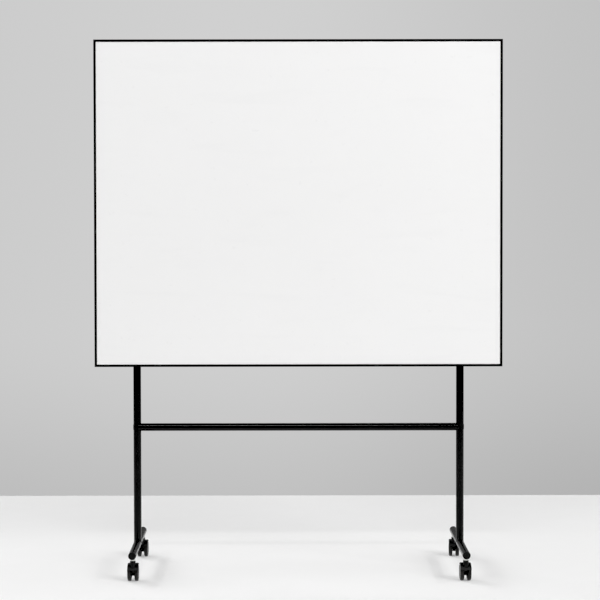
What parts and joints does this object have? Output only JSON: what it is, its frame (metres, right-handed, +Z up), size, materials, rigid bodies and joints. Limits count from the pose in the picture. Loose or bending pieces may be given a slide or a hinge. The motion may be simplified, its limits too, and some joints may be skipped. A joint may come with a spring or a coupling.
{
  "type": "rolling whiteboard",
  "caption": "Double-sided magnetic whiteboard in a thin black frame, fixed on a black tube stand with a crossbar and swivel casters with brakes.",
  "frame": {"origin": "on the floor, directly below the middle of the board; the casters trail backwards, so the middle of the box is about 10 mm behind it", "axes": "+X along the board's width, +Y to the back of the board (the writing side seen from the front faces -Y), +Z up"},
  "size_m": [1.507, 0.5236, 1.96],
  "materials": {
    "enamel_sheet": "glossy white enamel on steel",
    "honeycomb_core": "paper honeycomb board",
    "frame_aluminium": "satin black powder coat on extruded aluminium",
    "tube_paint": "semi-gloss black powder coat on steel tube",
    "block_aluminium": "milled",
    "cap_plastic": "moulded, fine texture",
    "hood_plastic": "moulded glass-filled nylon",
    "lever_plastic": "moulded nylon",
    "wheel_nylon": "black nylon disc with a soft black tread",
    "zinc_steel": "bright zinc plate",
    "black_steel": "black oxide",
    "plain_steel": "turned steel"
  },
  "bodies": {
    "stand": {"access_plugs": "cap_plastic", "core_panel": "honeycomb_core", "corner_key_screws": "plain_steel", "corner_keys": "plain_steel", "crossbar": "tube_paint", "crossbar_bolts": "plain_steel", "crossbar_plugs": "plain_steel", "crossbar_washers": "plain_steel", "end_cap_front_left": "cap_plastic", "end_cap_front_right": "cap_plastic", "end_cap_rear_left": "cap_plastic", "end_cap_rear_right": "cap_plastic", "foot_left": "tube_paint", "foot_right": "tube_paint", "frame_bottom": "frame_aluminium", "frame_left": "frame_aluminium", "frame_right": "frame_aluminium", "frame_top": "frame_aluminium", "front_writing_sheet": "enamel_sheet", "mounting_block_left": "block_aluminium", "mounting_block_right": "block_aluminium", "post_left": "tube_paint", "post_right": "tube_paint", "rear_writing_sheet": "enamel_sheet", "spigot_bolts": "plain_steel", "spigot_left": "plain_steel", "spigot_lock_screws": "black_steel", "spigot_right": "plain_steel", "stem_bushes": "plain_steel", "stem_front_left": "plain_steel", "stem_front_right": "plain_steel", "stem_nuts": "zinc_steel", "stem_rear_left": "plain_steel", "stem_rear_right": "plain_steel"},
    "caster_front_left": {"hood_front_left": "hood_plastic", "axle_front_left": "plain_steel", "stem_clip_front_left": "plain_steel"},
    "wheel_front_left_left": {"wheel_front_left_left": "wheel_nylon"},
    "wheel_front_left_right": {"wheel_front_left_right": "wheel_nylon"},
    "brake_lever_front_left": {"brake_lever_front_left": "lever_plastic"},
    "caster_front_right": {"hood_front_right": "hood_plastic", "axle_front_right": "plain_steel", "stem_clip_front_right": "plain_steel"},
    "wheel_front_right_left": {"wheel_front_right_left": "wheel_nylon"},
    "wheel_front_right_right": {"wheel_front_right_right": "wheel_nylon"},
    "brake_lever_front_right": {"brake_lever_front_right": "lever_plastic"},
    "caster_rear_left": {"hood_rear_left": "hood_plastic", "axle_rear_left": "plain_steel", "stem_clip_rear_left": "plain_steel"},
    "wheel_rear_left_left": {"wheel_rear_left_left": "wheel_nylon"},
    "wheel_rear_left_right": {"wheel_rear_left_right": "wheel_nylon"},
    "brake_lever_rear_left": {"brake_lever_rear_left": "lever_plastic"},
    "caster_rear_right": {"hood_rear_right": "hood_plastic", "axle_rear_right": "plain_steel", "stem_clip_rear_right": "plain_steel"},
    "wheel_rear_right_left": {"wheel_rear_right_left": "wheel_nylon"},
    "wheel_rear_right_right": {"wheel_rear_right_right": "wheel_nylon"},
    "brake_lever_rear_right": {"brake_lever_rear_right": "lever_plastic"}
  },
  "joints": [
    {"name": "swivel_front_left", "type": "hinge", "parent": "stand", "child": "caster_front_left", "pos_m": [-0.5975, -0.22, 0.07], "axis": [0, 0, 1], "continuous": true},
    {"name": "spin_front_left_left", "type": "hinge", "parent": "caster_front_left", "child": "wheel_front_left_left", "pos_m": [-0.5975, -0.202, 0.03], "axis": [1, 0, 0], "continuous": true},
    {"name": "spin_front_left_right", "type": "hinge", "parent": "caster_front_left", "child": "wheel_front_left_right", "pos_m": [-0.5975, -0.202, 0.03], "axis": [1, 0, 0], "continuous": true},
    {"name": "brake_front_left", "type": "hinge", "parent": "caster_front_left", "child": "brake_lever_front_left", "pos_m": [-0.5975, -0.18082, 0.05711], "axis": [-1, 0, 0], "range_deg": [0, 11]},
    {"name": "swivel_front_right", "type": "hinge", "parent": "stand", "child": "caster_front_right", "pos_m": [0.5975, -0.22, 0.07], "axis": [0, 0, 1], "continuous": true},
    {"name": "spin_front_right_left", "type": "hinge", "parent": "caster_front_right", "child": "wheel_front_right_left", "pos_m": [0.59719, -0.202, 0.03], "axis": [0.9998, 0.0175, 0], "continuous": true},
    {"name": "spin_front_right_right", "type": "hinge", "parent": "caster_front_right", "child": "wheel_front_right_right", "pos_m": [0.59719, -0.202, 0.03], "axis": [0.9998, 0.0175, 0], "continuous": true},
    {"name": "brake_front_right", "type": "hinge", "parent": "caster_front_right", "child": "brake_lever_front_right", "pos_m": [0.59682, -0.18083, 0.05711], "axis": [-0.9998, -0.0175, 0], "range_deg": [0, 11]},
    {"name": "swivel_rear_left", "type": "hinge", "parent": "stand", "child": "caster_rear_left", "pos_m": [-0.5975, 0.22, 0.07], "axis": [0, 0, 1], "continuous": true},
    {"name": "spin_rear_left_left", "type": "hinge", "parent": "caster_rear_left", "child": "wheel_rear_left_left", "pos_m": [-0.59703, 0.23799, 0.03], "axis": [0.9997, -0.0262, 0], "continuous": true},
    {"name": "spin_rear_left_right", "type": "hinge", "parent": "caster_rear_left", "child": "wheel_rear_left_right", "pos_m": [-0.59703, 0.23799, 0.03], "axis": [0.9997, -0.0262, 0], "continuous": true},
    {"name": "brake_rear_left", "type": "hinge", "parent": "caster_rear_left", "child": "brake_lever_rear_left", "pos_m": [-0.59647, 0.25917, 0.05711], "axis": [-0.9997, 0.0262, 0], "range_deg": [0, 11]},
    {"name": "swivel_rear_right", "type": "hinge", "parent": "stand", "child": "caster_rear_right", "pos_m": [0.5975, 0.22, 0.07], "axis": [0, 0, 1], "continuous": true},
    {"name": "spin_rear_right_left", "type": "hinge", "parent": "caster_rear_right", "child": "wheel_rear_right_left", "pos_m": [0.59907, 0.23793, 0.03], "axis": [0.9962, -0.0872, 0], "continuous": true},
    {"name": "spin_rear_right_right", "type": "hinge", "parent": "caster_rear_right", "child": "wheel_rear_right_right", "pos_m": [0.59907, 0.23793, 0.03], "axis": [0.9962, -0.0872, 0], "continuous": true},
    {"name": "brake_rear_right", "type": "hinge", "parent": "caster_rear_right", "child": "brake_lever_rear_right", "pos_m": [0.60091, 0.25903, 0.05711], "axis": [-0.9962, 0.0872, 0], "range_deg": [0, 11]}
  ]
}
